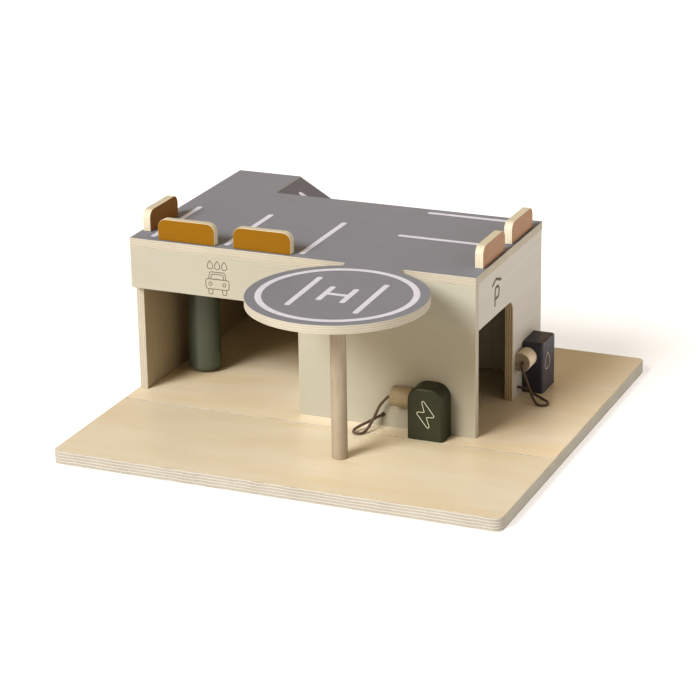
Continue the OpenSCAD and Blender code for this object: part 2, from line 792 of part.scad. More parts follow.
// Stop knots at the cords' ends, inside the front panel and the right wall
module cord_knots() {
  color(cord_brown) {
    translate([charger_hole[0], wall_front_y, charger_hole[1]]) rotate([-90, 0, 0]) knot_shape();
    translate([right_face - ply_t, pump_hole[0], pump_hole[1]]) rotate([0, -90, 0]) knot_shape();
  }
}

// Roller between its two washers, bored to run on the axle
module wash_roller() {
  r = roller_d / 2;
  bottom = base_t + washer_t;
  length = wall_h - 2 * washer_t - roller_play;
  bore_r = axle_d / 2 + running_gap;
  color(wash_green) translate([roller_cx, roller_cy, bottom]) rotate_extrude() {
    translate([bore_r, 0]) square([r - roller_edge_r - bore_r, length]);
    translate([bore_r, roller_edge_r]) square([r - bore_r, length - 2 * roller_edge_r]);
    for (z = [roller_edge_r, length - roller_edge_r]) translate([r - roller_edge_r, z]) circle(roller_edge_r);
  }
}

// Fixed dowel that the roller turns on, glued into the board and the roof
module roller_axle() {
  color(beech) upright([roller_cx, roller_cy], axle_d, base_t - axle_seat, roof_under + roof_hole_depth);
}

// Washers under and over the roller
module roller_washers() {
  color(steel) for (z = [base_t, roof_under - washer_t])
    difference() {
      upright([roller_cx, roller_cy], washer_d, z, z + washer_t);
      upright([roller_cx, roller_cy], axle_d + 2 * running_gap, z - tiny, z + washer_t + tiny);
    }
}

base_front_board();
base_back_board();
base_dowels();
front_panel();
left_wall();
right_wall();
partition_wall();
back_wall();
ramp_cheek();
roof_deck();
helipad_post();
ramp_board();
front_left_bumper();
front_right_bumper();
left_bumper();
right_front_bumper();
right_back_bumper();
bumper_pegs();
roof_dowels();
ramp_dowels();
wall_screws();
block_screws();
charger_block();
fuel_pump_block();
block_magnets();
charger_plug();
charger_plug_magnet();
fuel_plug();
fuel_plug_magnet();
charger_cord();
fuel_cord();
cord_knots();
wash_roller();
roller_axle();
roller_washers();
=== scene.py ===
import math

import bmesh
import bpy
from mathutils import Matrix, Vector


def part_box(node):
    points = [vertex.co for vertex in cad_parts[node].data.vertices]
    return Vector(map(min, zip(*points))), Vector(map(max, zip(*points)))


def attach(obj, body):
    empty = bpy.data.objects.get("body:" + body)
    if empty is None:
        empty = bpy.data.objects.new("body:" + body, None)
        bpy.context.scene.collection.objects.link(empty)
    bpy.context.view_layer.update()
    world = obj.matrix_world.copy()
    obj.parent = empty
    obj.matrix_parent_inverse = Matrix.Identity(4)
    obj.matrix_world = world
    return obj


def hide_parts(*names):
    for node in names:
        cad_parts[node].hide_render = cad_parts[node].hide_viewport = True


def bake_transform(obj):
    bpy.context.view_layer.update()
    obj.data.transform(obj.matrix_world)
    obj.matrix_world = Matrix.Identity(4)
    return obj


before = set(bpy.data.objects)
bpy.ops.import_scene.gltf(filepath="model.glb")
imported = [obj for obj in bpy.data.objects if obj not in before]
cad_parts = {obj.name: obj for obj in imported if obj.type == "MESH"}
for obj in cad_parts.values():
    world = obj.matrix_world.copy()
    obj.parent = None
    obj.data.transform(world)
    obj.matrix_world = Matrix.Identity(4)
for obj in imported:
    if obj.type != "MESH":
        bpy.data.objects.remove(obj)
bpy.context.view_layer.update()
bpy.ops.object.select_all(action="DESELECT")
mm = 0.001

# Ground board
# Two sheets of 14 mm birch plywood under a clear satin varnish, joined edge to edge by dowels.
# Their edges are eased and left bare, so that the plies show all round.
ground_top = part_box("base_back_board")[1].z
ground_plies = 9
upward = (0, 0, 1)
no_grain = (1, 1, 1)
grain_left_to_right = (0.35, 1.6, 1.6)
cut_edge_roughness = 0.62


def shade(code):
    """The linear colour of a hex code as read off the toy."""
    channels = [int(code[i:i + 2], 16) / 255 for i in (1, 3, 5)]
    return tuple(c / 12.92 if c <= 0.04045 else ((c + 0.055) / 1.055) ** 2.4 for c in channels) + (1,)


def darker(colour, share):
    """A colour taken down to a share of its brightness."""
    return tuple(c * share for c in colour[:3]) + (1,)


def add(tree, kind, inputs=(), **settings):
    """A shader node with its settings, its inputs set to numbers or joined to other nodes' outputs."""
    made = tree.nodes.new(kind)
    for name, value in settings.items():
        setattr(made, name, value)
    for socket, value in dict(inputs).items():
        if isinstance(value, bpy.types.NodeSocket):
            tree.links.new(value, made.inputs[socket])
        else:
            made.inputs[socket].default_value = value
    return made


def maths(tree, operation, *values):
    """The result of one sum on numbers or outputs."""
    return add(tree, "ShaderNodeMath", dict(enumerate(values)), operation=operation).outputs[0]


def along_line(tree, vector, line):
    """How far a vector reaches along a line's direction."""
    return add(tree, "ShaderNodeVectorMath", {0: vector, 1: line}, operation="DOT_PRODUCT").outputs[1]


def blend_colours(tree, share, low, high):
    """Two colours mixed by a share."""
    return add(tree, "ShaderNodeMix", {0: share, 6: low, 7: high}, data_type="RGBA").outputs[2]


def grain_noise(tree, coords, stretch, scale, detail=3, distortion=0.0):
    """Noise drawn out along a direction: stretch is its scale along X, Y and Z."""
    spread = add(tree, "ShaderNodeMapping", {"Vector": coords, "Scale": stretch})
    noise = add(tree, "ShaderNodeTexNoise",
                {"Vector": spread.outputs[0], "Scale": scale, "Detail": detail, "Distortion": distortion})
    return noise.outputs[0]


def between(tree, value, low, high, to_low=0.0, to_high=1.0):
    """A value spread evenly from one range to another, and held at its ends."""
    spread = add(tree, "ShaderNodeMapRange",
                 {0: value, 1: low, 2: high, 3: to_low, 4: to_high}, clamp=True)
    return spread.outputs[0]


def new_finish(name):
    """An empty finish: its tree, its shader and the object's own coordinates."""
    finish = bpy.data.materials.new(name)
    finish.use_nodes = True
    tree = finish.node_tree
    shader = tree.nodes["Principled BSDF"]
    coords = add(tree, "ShaderNodeTexCoord")
    return finish, tree, shader, coords


def add_relief(tree, shader, height, strength, depth):
    """Fine relief on a finish, from a pattern of heights and a depth in metres."""
    bump = add(tree, "ShaderNodeBump", {"Height": height, "Strength": strength, "Distance": depth})
    tree.links.new(bump.outputs[0], shader.inputs["Normal"])


def veneer_colour(tree, coords, stretch, light, dark, strength):
    """Birch veneer with clouds, amber patches, streaks and brown flecks: its colour and its streaks."""
    clouds = grain_noise(tree, coords, tuple(0.4 + 0.6 * s for s in stretch), 6, 3, 1.2)
    streaks = grain_noise(tree, coords, tuple(s * s * 1.6 for s in stretch), 34, 5, 0.5)
    flecks = grain_noise(tree, coords, tuple(s * s * s for s in stretch), 120, 2, 0.3)
    cloud_tone = between(tree, clouds, 0.32, 0.68, 0, 0.8)
    streak_tone = between(tree, streaks, 0.3, 0.75, 0, 0.2)
    tone = maths(tree, "MULTIPLY", maths(tree, "ADD", cloud_tone, streak_tone), strength)
    veneer = blend_colours(tree, tone, light, dark)
    amber = grain_noise(tree, coords, stretch, 8, 3, 0.9)
    amber_share = maths(tree, "MULTIPLY", between(tree, amber, 0.5, 0.72), 0.36 * strength)
    amber_colour = tuple(c * s for c, s in zip(dark, (0.98, 0.86, 0.66, 1)))
    veneer = blend_colours(tree, amber_share, veneer, amber_colour)
    fleck_share = maths(tree, "MULTIPLY", between(tree, flecks, 0.68, 0.75), 0.4 * strength)
    return blend_colours(tree, fleck_share, veneer, darker(dark, 0.6)), streaks


def ply_edge_colour(tree, coords, height, plies, light, dark):
    """Sheet edge: light and dark plies in turn, thin glue lines and a few brown voids."""
    wobble = between(tree, grain_noise(tree, coords, no_grain, 60, 3), 0.25, 0.75, -0.3, 0.3)
    layer = maths(tree, "ADD", maths(tree, "MULTIPLY", height, plies), wobble)
    odd = maths(tree, "MODULO", maths(tree, "FLOOR", layer), 2)
    share = maths(tree, "FRACT", layer)
    to_glue = maths(tree, "MINIMUM", share, maths(tree, "SUBTRACT", 1.0, share))
    speckle = between(tree, grain_noise(tree, coords, no_grain, 900, 3), 0.3, 0.7, -0.1, 0.3)
    tone = maths(tree, "ADD", maths(tree, "MULTIPLY", odd, 0.55), speckle)
    edge = blend_colours(tree, maths(tree, "MAXIMUM", tone, 0.0), light, dark)
    patchy = between(tree, grain_noise(tree, coords, no_grain, 30, 2), 0.35, 0.65, 0.1, 0.5)
    glue = maths(tree, "MULTIPLY", between(tree, to_glue, 0.04, 0.2, 1, 0), patchy)
    edge = blend_colours(tree, glue, edge, darker(dark, 0.45))
    voids = grain_noise(tree, coords, no_grain, 75, 1)
    void_share = maths(tree, "MULTIPLY", between(tree, voids, 0.79, 0.81), odd)
    return blend_colours(tree, void_share, edge, void_brown)


def plywood(name, across, low, thickness, plies, stretch, face, edge, strength=1.0, roughness=0.42,
            paint=None, paint_both=False, paint_roughness=0.5):
    """Plywood sheet: across is the direction through it and low where it starts on that line.
    face and edge are light and dark tones. Paint covers the face that looks along across, or both."""
    finish, tree, shader, coords = new_finish(name)
    place = coords.outputs["Object"]
    along = along_line(tree, place, across)
    facing = along_line(tree, coords.outputs["Normal"], across)
    height = maths(tree, "DIVIDE", maths(tree, "SUBTRACT", along, low), thickness)
    on_face = maths(tree, "GREATER_THAN", maths(tree, "ABSOLUTE", facing), 0.8)
    veneer, streaks = veneer_colour(tree, place, stretch, *face, strength)
    edges = ply_edge_colour(tree, place, height, plies, *edge)
    colour = blend_colours(tree, on_face, edges, veneer)
    satin = between(tree, streaks, 0.3, 0.7, roughness - 0.05, roughness + 0.07)
    on_edge = maths(tree, "SUBTRACT", 1.0, on_face)
    rough = maths(tree, "ADD", maths(tree, "MULTIPLY", satin, on_face),
                  maths(tree, "MULTIPLY", on_edge, cut_edge_roughness))
    if paint:
        painted = on_face if paint_both else maths(tree, "GREATER_THAN", facing, 0.6)
        mottle = between(tree, grain_noise(tree, place, no_grain, 60, 4), 0.25, 0.75)
        coat = blend_colours(tree, mottle, paint, darker(paint, 0.965))
        colour = blend_colours(tree, painted, colour, coat)
        fine = grain_noise(tree, place, no_grain, 700, 2)
        film = between(tree, fine, 0.3, 0.7, paint_roughness - 0.04, paint_roughness + 0.06)
        rough = add(tree, "ShaderNodeMix", {0: painted, 2: rough, 3: film}, data_type="FLOAT").outputs[0]
    relief = grain_noise(tree, place, tuple(s * s for s in stretch), 260, 3)
    add_relief(tree, shader, relief, 0.25, 0.12 * mm)
    tree.links.new(colour, shader.inputs["Base Color"])
    tree.links.new(rough, shader.inputs["Roughness"])
    shader.inputs["Specular IOR Level"].default_value = 0.3
    return finish


def give_finish(piece, finish):
    """Puts one finish on a whole piece."""
    piece.data.materials.clear()
    piece.data.materials.append(finish)


void_brown = shade("#7a5a34")
ground_edge = (shade("#bebbb4"), shade("#938f86"))
# The back sheet's tones are lighter than the front sheet's: painted light on the part that lies in the
# hall's shade.
for board_name, light, dark in (("base_front_board", "#e1dbcd", "#d9cfb8"),
                                ("base_back_board", "#ebe3d4", "#e0d3b8")):
    board_face = (shade(light), shade(dark))
    board_birch = plywood("birch_" + board_name, upward, 0, ground_top, ground_plies, grain_left_to_right,
                          board_face, ground_edge, roughness=0.34)
    give_finish(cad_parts[board_name], board_birch)

# Front panel
# One sheet of 9 mm plywood, white-washed: a fascia over the car-wash bay and a full-height
# panel beside it. It is screwed up through the ground board and dowelled to the roof.
rightward = (1, 0, 0)
backward = (0, 1, 0)
panel_low, panel_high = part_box("front_panel")
bay_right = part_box("partition_wall")[0].x
sheet = panel_high.y - panel_low.y
fascia_bottom = ground_top + 116 * mm
fascia_corner = 3 * mm
edge_ease = 0.8 * mm
cord_hole = 4 * mm
charger_hole = (47 * mm, (panel_low.y + panel_high.y) / 2, 26.5 * mm)
charger_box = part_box("charger_block")
charger_middle_x = (charger_box[0].x + charger_box[1].x) / 2
charger_height = charger_box[1].z - charger_box[0].z
charger_screws = (0.25, 0.75)
screw_head = 7.1 * mm
screw_shank = 3.7 * mm
head_height = 3.2 * mm
cut_proud = 0.01 * mm
hole_sides = 32
sharp_edge = math.radians(28)
shading_edge = math.radians(35)
sheet_plies = 7
wash_face = (shade("#adaca2"), shade("#a5a297"))
wash_edge = (shade("#bcb8ad"), shade("#a8a296"))
wash_strength = 0.5
wash_roughness = 0.46


def pick(piece, kind, test):
    """Selects the faces, edges or corners of a piece that pass a test, and leaves it in edit mode."""
    bpy.ops.object.mode_set(mode="EDIT")
    bpy.ops.mesh.select_mode(type=kind)
    bpy.ops.mesh.select_all(action="DESELECT")
    shape = bmesh.from_edit_mesh(piece.data)
    members = {"FACE": shape.faces, "EDGE": shape.edges, "VERT": shape.verts}[kind]
    for member in members:
        if test(member):
            member.select_set(True)
    bmesh.update_edit_mesh(piece.data)


def near(a, b):
    """True where two lengths are the same to a hundredth of a millimetre."""
    return abs(a - b) < 0.01 * mm


def middle(edge):
    """The middle of an edge."""
    return (edge.verts[0].co + edge.verts[1].co) / 2


def block(name, low, high):
    """A square block between two corners."""
    low, high = Vector(low), Vector(high)
    bpy.ops.object.select_all(action="DESELECT")
    bpy.ops.mesh.primitive_cube_add(size=1, location=(low + high) / 2, scale=high - low)
    bpy.ops.object.transform_apply(location=True, rotation=True, scale=True)
    piece = bpy.context.object
    piece.name = name
    return piece


def split(piece, point, normal):
    """Draws a cut line all round a piece, in edit mode."""
    bpy.ops.object.mode_set(mode="EDIT")
    bpy.ops.mesh.select_all(action="SELECT")
    bpy.ops.mesh.bisect(plane_co=point, plane_no=normal)


def pull(step):
    """Extrudes the picked faces by a step."""
    bpy.ops.mesh.extrude_region_move(TRANSFORM_OT_translate={"value": step})


def round_edges(radius, steps):
    """Rounds the picked edges."""
    bpy.ops.mesh.bevel(offset=radius, segments=steps, profile=0.5, affect="EDGES", clamp_overlap=False)


def tidy_faces():
    """Joins flat faces that only a cut line parted."""
    bpy.ops.mesh.select_all(action="SELECT")
    bpy.ops.mesh.remove_doubles(threshold=0.001 * mm)
    bpy.ops.mesh.dissolve_limited(angle_limit=math.radians(0.5))


def take_up(piece):
    """Makes a piece the only one selected, in object mode."""
    bpy.ops.object.mode_set(mode="OBJECT")
    bpy.ops.object.select_all(action="DESELECT")
    piece.select_set(True)
    bpy.context.view_layer.objects.active = piece


def combine(piece, other, operation):
    """Cuts another solid away from a piece or joins it on. The other one is used up."""
    take_up(piece)
    change = piece.modifiers.new("combine", "BOOLEAN")
    change.object = other
    change.operation = operation
    bpy.ops.object.modifier_apply(modifier=change.name)
    bpy.data.objects.remove(other)


def drill(piece, place, direction, diameter, depth, top=None):
    """Drills a round hole from a place, half its depth to either side. A top diameter makes it a cone."""
    turn = Vector(direction).to_track_quat("Z", "Y").to_euler()
    bpy.ops.object.mode_set(mode="OBJECT")
    bpy.ops.mesh.primitive_cone_add(vertices=hole_sides, radius1=diameter / 2,
                                    radius2=(top or diameter) / 2, depth=depth,
                                    location=place, rotation=turn)
    combine(piece, bpy.context.object, "DIFFERENCE")


def ease_edges(piece, radius):
    """Takes the sharpness off all edges of a piece, as sandpaper does."""
    bpy.context.view_layer.objects.active = piece
    bpy.ops.object.mode_set(mode="EDIT")
    bpy.ops.mesh.select_mode(type="EDGE")
    bpy.ops.mesh.select_all(action="DESELECT")
    bpy.ops.mesh.edges_select_sharp(sharpness=sharp_edge)
    round_edges(radius, 2)


def finish_piece(piece, finish, slot, *stands_for, body="garage"):
    """Smooths a piece, gives it its finish and seats it on its body in place of the CAD nodes named."""
    take_up(piece)
    bpy.ops.object.shade_smooth_by_angle(angle=shading_edge)
    bpy.ops.object.modifier_add(type="WEIGHTED_NORMAL")
    bpy.ops.object.modifier_apply(modifier=bpy.context.object.modifiers[-1].name)
    bpy.ops.object.select_all(action="DESELECT")
    give_finish(piece, finish)
    if stands_for:
        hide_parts(*stands_for)
    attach(piece, body)


panel = block("front_panel_sheet", (bay_right, panel_low.y, panel_low.z), panel_high)
split(panel, (0, 0, fascia_bottom), upward)
pick(panel, "FACE", lambda f: f.normal.x < -0.9 and f.calc_center_median().z > fascia_bottom)
pull((panel_low.x - bay_right, 0, 0))
tidy_faces()
pick(panel, "EDGE", lambda e: near(middle(e).x, panel_low.x) and near(middle(e).z, fascia_bottom))
round_edges(fascia_corner, 5)
drill(panel, charger_hole, backward, cord_hole, 3 * sheet)
screw_y = panel_high.y - head_height / 2 + cut_proud
for share in charger_screws:
    screw_z = ground_top + share * charger_height
    drill(panel, (charger_middle_x, screw_y, screw_z), backward, screw_shank, head_height, screw_head)
ease_edges(panel, edge_ease)
washed_panel = plywood("washed_panel", backward, panel_low.y, sheet, sheet_plies, grain_left_to_right,
                       wash_face, wash_edge, wash_strength, wash_roughness)
finish_piece(panel, washed_panel, "wall_ply", "front_panel")

# Side, partition and back walls
# Sheets of the same white-washed plywood; some faces carry lighter, darker, warmer or cooler copies of the
# wash as painted light and shade.
# The right one has the doorway cut out at its front, with a rounded upper corner, and the cheek carries the
# landing and the ramp at the back.
leftward = (-1, 0, 0)
grain_upright = (1.6, 1.6, 0.35)
grain_front_to_back = (1.6, 0.35, 1.6)
# A cooler, greyer copy of the wash for the right wall's outer face: painted cool light from the right.
side_face_painted_cool_light = (shade("#bbb9b5"), shade("#b3b0ab"))
# A lighter copy of the wash on the partition's bay side and the back wall's inner face: painted light that
# brightens the bay.
pale_face_painted_light = (shade("#e0ddd3"), shade("#d6d1c4"))
# A warmer, darker copy of the wash on the left wall's inner face: painted warm shade.
inner_face_painted_warm_shade = (shade("#b6aa94"), shade("#a89c85"))
light_ease = 0.5 * mm
fine_ease = 0.3 * mm
for wall_name, across, inside in (("left_wall", leftward, inner_face_painted_warm_shade),
                                  ("partition_wall", rightward, pale_face_painted_light),
                                  ("back_wall", backward, pale_face_painted_light)):
    low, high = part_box(wall_name)
    wall = block(wall_name + "_sheet", low, high)
    ease_edges(wall, edge_ease)
    start = min(Vector(across).dot(low), Vector(across).dot(high))
    washed_wall = plywood("washed_" + wall_name, across, start, sheet, sheet_plies, grain_upright,
                          inside, wash_edge, wash_strength, wash_roughness, paint=wash_face[0])
    finish_piece(wall, washed_wall, "wall_ply", wall_name)

right_low, right_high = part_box("right_wall")
door_back = right_low.y + 104 * mm
door_top = ground_top + 112 * mm
door_corner = 12 * mm
corner_margin = 2 * mm
# The right wall's edge tones: light and dark ply layers, with the dark plies darkened further as painted
# shade of the doorway.
door_edge_plies_and_shade = (shade("#d3c6aa"), shade("#85755a"))
pump_hole = ((right_low.x + right_high.x) / 2, 78 * mm, 23.5 * mm)
pump_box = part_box("fuel_pump_block")
pump_middle_y = (pump_box[0].y + pump_box[1].y) / 2
pump_height = pump_box[1].z - pump_box[0].z
pump_screws = (0.25, 0.6)
right_wall = block("right_wall_sheet", (right_low.x, door_back, right_low.z), right_high)
split(right_wall, (0, 0, door_top), upward)
pick(right_wall, "FACE", lambda f: f.normal.y < -0.9 and f.calc_center_median().z > door_top)
pull((0, right_low.y - door_back, 0))
tidy_faces()
pick(right_wall, "EDGE", lambda e: near(middle(e).y, door_back) and near(middle(e).z, door_top))
round_edges(door_corner, 12)
drill(right_wall, pump_hole, rightward, cord_hole, 3 * sheet)
screw_x = right_low.x + head_height / 2 - cut_proud
for share in pump_screws:
    screw_z = ground_top + share * pump_height
    drill(right_wall, (screw_x, pump_middle_y, screw_z), rightward, screw_head, head_height, screw_shank)
ease_edges(right_wall, light_ease)
# Cut lines beside the doorway's round corner keep the large face free of long thin triangles.
split(right_wall, (0, door_back + corner_margin, 0), backward)
split(right_wall, (0, 0, door_top + corner_margin), upward)
washed_right_wall = plywood("washed_right_wall", rightward, right_low.x, sheet, sheet_plies,
                            grain_front_to_back, side_face_painted_cool_light, door_edge_plies_and_shade, strength=0.4,
                            roughness=wash_roughness)
finish_piece(right_wall, washed_right_wall, "wall_ply", "right_wall")

cheek_low, cheek_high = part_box("ramp_cheek")
ramp_low, ramp_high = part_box("ramp_board")
ramp_rise = ramp_high.z - ramp_low.z
ramp_angle = math.atan2(ramp_rise, ramp_high.x - ramp_low.x)
ramp_drop = sheet / math.cos(ramp_angle)
cheek_shoulder = ramp_high.z - ramp_drop
cheek = block("ramp_cheek_sheet", cheek_low, (ramp_low.x, cheek_high.y, cheek_high.z))
split(cheek, (0, 0, cheek_shoulder), upward)
pick(cheek, "FACE", lambda f: f.normal.x > 0.9 and f.calc_center_median().z < cheek_shoulder)
pull((cheek_high.x - ramp_low.x, 0, 0))
pick(cheek, "VERT", lambda v: near(v.co.x, cheek_high.x) and v.co.z > ground_top + mm)
bpy.ops.transform.translate(value=(0, 0, ground_top - cheek_shoulder))
tidy_faces()
ease_edges(cheek, fine_ease)
washed_cheek = plywood("washed_cheek", backward, cheek_low.y, sheet, sheet_plies, grain_left_to_right,
                       wash_face, wash_edge, wash_strength, wash_roughness)
finish_piece(cheek, washed_cheek, "wall_ply", "ramp_cheek")

# Roof deck
# One sheet for the roof over the hall, the landing behind it and the round helicopter pad with
# its short neck. Its top is painted road grey, and its edges and underside are bare ply.
roof_low, roof_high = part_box("roof_deck")
hall_front = panel_low.y
hall_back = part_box("back_wall")[1].y
landing_right = ramp_low.x
post_low, post_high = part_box("helipad_post")
pad_middle = (post_low + post_high) / 2
pad_radius = pad_middle.y - roof_low.y
neck_half = 31 * mm
neck_overlap = 5 * mm
neck_fillet = 3 * mm
pad_fillet = 0.7 * neck_fillet
side_slack = 0.02 * mm
pad_slack = 2 * mm
pad_sides = 180
bare_face = (shade("#e2d6bd"), shade("#d3c39f"))
road_grey = shade("#8d929f")
roof_strength = 0.8
roof_roughness = 0.5

deck = block("roof_deck_sheet", (roof_low.x, hall_front, roof_low.z),
             (roof_high.x, hall_back, roof_high.z))
split(deck, (landing_right, 0, 0), rightward)
pick(deck, "FACE", lambda f: f.normal.y > 0.9 and f.calc_center_median().x < landing_right)
pull((0, roof_high.y - hall_back, 0))
bpy.ops.object.mode_set(mode="OBJECT")
neck = block("neck", (pad_middle.x - neck_half, pad_middle.y, roof_low.z),
             (pad_middle.x + neck_half, hall_front + neck_overlap, roof_high.z))
combine(deck, neck, "UNION")
bpy.ops.mesh.primitive_cylinder_add(vertices=pad_sides, radius=pad_radius, depth=sheet,
                                    location=(pad_middle.x, pad_middle.y, (roof_low.z + roof_high.z) / 2))
combine(deck, bpy.context.object, "UNION")
bpy.ops.object.mode_set(mode="EDIT")
tidy_faces()
neck_start = pad_middle.y + math.sqrt(pad_radius ** 2 - neck_half ** 2)


def is_neck_corner(edge, y, slack):
    """True for an upright edge at the neck's sides, no further than a slack from a place along it."""
    upright = abs(edge.verts[0].co.z - edge.verts[1].co.z) > sheet / 2
    beside = abs(abs(middle(edge).x - pad_middle.x) - neck_half) < side_slack
    return upright and beside and abs(middle(edge).y - y) < slack


pick(deck, "EDGE", lambda e: is_neck_corner(e, hall_front, side_slack))
round_edges(neck_fillet, 6)
pick(deck, "EDGE", lambda e: is_neck_corner(e, neck_start, pad_slack))
round_edges(pad_fillet, 6)
ease_edges(deck, light_ease)
roof_sheet = plywood("roof_sheet", upward, roof_low.z, sheet, sheet_plies, grain_left_to_right,
                     bare_face, wash_edge, roof_strength, roof_roughness, paint=road_grey)
finish_piece(deck, roof_sheet, "roof_paint", "roof_deck")

# Ramp
# A sheet of the same plywood, painted grey on top, bevelled to sit flat on the ground board
# at its toe and plumb against the landing at its head.
# The ramp's grey is darker than the roof's: painted shade where the roof shades the ramp.
ramp_grey_painted_shade = shade("#7b7b84")
slope_up = (math.sin(ramp_angle), 0, math.cos(ramp_angle))
ramp_start = Vector(slope_up).dot(Vector((ramp_low.x, 0, cheek_shoulder)))
ramp = block("ramp_sheet", (ramp_low.x, ramp_low.y, cheek_shoulder), ramp_high)
pick(ramp, "VERT", lambda v: near(v.co.x, ramp_high.x) and near(v.co.z, ramp_high.z))
bpy.ops.transform.translate(value=(0, 0, -ramp_rise))
pick(ramp, "VERT", lambda v: near(v.co.x, ramp_high.x) and near(v.co.z, cheek_shoulder))
bpy.ops.transform.translate(value=(-ramp_drop / math.tan(ramp_angle), 0, ground_top - cheek_shoulder))
tidy_faces()
ease_edges(ramp, fine_ease)
ramp_sheet = plywood("ramp_sheet_paint", slope_up, ramp_start, sheet, sheet_plies, grain_left_to_right,
                     bare_face, wash_edge, roof_strength, roof_roughness, paint=ramp_grey_painted_shade)
finish_piece(ramp, ramp_sheet, "roof_paint", "ramp_board")

# Road lines
# Bay lines, the ramp's centre line and the helicopter pad's ring, letter and side lines,
# screen-printed in off-white on the grey paint as a thin raised film.
line_width = 6 * mm
line_film = 0.12 * mm
end_rounding = 0.42
front_bay_xs = (-216 * mm, -131.5 * mm, -46.4 * mm)
front_bay_start = hall_front + 11 * mm + line_width / 2
front_bay_end = 71 * mm
right_bay_ys = (52.1 * mm, 137.6 * mm)
right_bay_start = 26 * mm
right_bay_end = 131 * mm
line_white = shade("#dcdff0")


def print_finish(name, colour, roughness=0.5):
    """Screen ink or a burnt line: even, with a faint patchiness."""
    finish, tree, shader, coords = new_finish(name)
    patches = between(tree, grain_noise(tree, coords.outputs["Object"], no_grain, 160, 3), 0.35, 0.65)
    ink = blend_colours(tree, patches, colour, darker(colour, 0.94))
    tree.links.new(ink, shader.inputs["Base Color"])
    shader.inputs["Roughness"].default_value = roughness
    return finish


def road_line(name, start, end, width=line_width, base=roof_high.z):
    """A printed line between two points of the roof, with rounded ends."""
    start, end = Vector(start), Vector(end)
    length = (end - start).length + width
    turn = math.atan2(end.y - start.y, end.x - start.x)
    centre = (start + end) / 2
    bpy.ops.object.select_all(action="DESELECT")
    bpy.ops.mesh.primitive_cube_add(size=1, location=(centre.x, centre.y, base), rotation=(0, 0, turn),
                                    scale=(length, width, 2 * line_film))
    bpy.ops.object.transform_apply(location=True, rotation=True, scale=True)
    line = bpy.context.object
    line.name = name
    pick(line, "EDGE", lambda e: abs(e.verts[0].co.z - e.verts[1].co.z) > line_film)
    round_edges(end_rounding * width, 5)
    bpy.ops.object.mode_set(mode="OBJECT")
    return line


line_ink = print_finish("line_ink", line_white)
for count, x in enumerate(front_bay_xs):
    line = road_line(f"front_bay_line_{count + 1}", (x, front_bay_start, 0), (x, front_bay_end, 0))
    finish_piece(line, line_ink, "roof_paint")
for count, y in enumerate(right_bay_ys):
    line = road_line(f"right_bay_line_{count + 1}", (right_bay_start, y, 0), (right_bay_end, y, 0))
    finish_piece(line, line_ink, "roof_paint")

dash_width = 7 * mm
dash_end = 40 * mm - dash_width / 2
dash_y = 185.8 * mm
first_dash = 14.5 * mm
dash_pitch = 65 * mm
for count in range(4):
    dash = road_line(f"ramp_dash_{count + 1}", (dash_width / 2, 0, 0), (dash_end, 0, 0), dash_width, 0)
    down = first_dash + dash_pitch * count
    dash.location = (landing_right + down * math.cos(ramp_angle), dash_y,
                     ramp_high.z - down * math.sin(ramp_angle))
    dash.rotation_euler = (0, ramp_angle, 0)
    bpy.ops.object.transform_apply(location=True, rotation=True, scale=True)
    finish_piece(dash, line_ink, "roof_paint")

lean = math.radians(1.7)
marks_middle_y = -146.5 * mm
side_line_ys = (-189 * mm, -105 * mm)
letter_ys = (-165 * mm, -128 * mm)
letter_xs = (26.5 * mm, 51.5 * mm)


def leaning(x, y):
    """A point of the pad's markings, which lean a little to the left."""
    return Vector((x - (y - marks_middle_y) * math.tan(lean), y, 0))


for side, x in (("left", 3.5 * mm), ("right", 74.8 * mm)):
    line = road_line("pad_side_line_" + side, *(leaning(x, y) for y in side_line_ys))
    finish_piece(line, line_ink, "roof_paint")
letter = road_line("pad_letter", *(leaning(letter_xs[0], y) for y in letter_ys))
stroke_right = road_line("stroke", *(leaning(letter_xs[1], y) for y in letter_ys))
combine(letter, stroke_right, "UNION")
cross_bar = road_line("bar", *(leaning(x, marks_middle_y) for x in letter_xs))
combine(letter, cross_bar, "UNION")
finish_piece(letter, line_ink, "roof_paint")

ring_middle = (38.7 * mm, -146 * mm, roof_high.z)
ring_outer = 80.7 * mm
ring_inner = 74.1 * mm
ring_sides = 160
ring_growth = ring_outer / ring_inner
bpy.ops.mesh.primitive_circle_add(vertices=ring_sides, radius=ring_inner, fill_type="NOTHING",
                                  location=ring_middle)
bpy.ops.object.transform_apply(location=True, rotation=True, scale=True)
ring = bpy.context.object
ring.name = "pad_ring"
pick(ring, "EDGE", lambda e: True)
bpy.ops.mesh.extrude_edges_move()
bpy.ops.transform.resize(value=(ring_growth, ring_growth, 1), center_override=ring_middle)
pick(ring, "FACE", lambda f: True)
pull((0, 0, line_film))
bpy.ops.mesh.select_all(action="SELECT")
bpy.ops.mesh.normals_make_consistent(inside=False)
finish_piece(ring, line_ink, "roof_paint")

# Roof bumpers
# Small stops of 9 mm plywood with rounded upper corners, painted ochre or blush on both faces
# and bare at the edges. Each stands on the roof on two glued pegs.
bumper_corner = 9 * mm
ochre = shade("#8c6706")
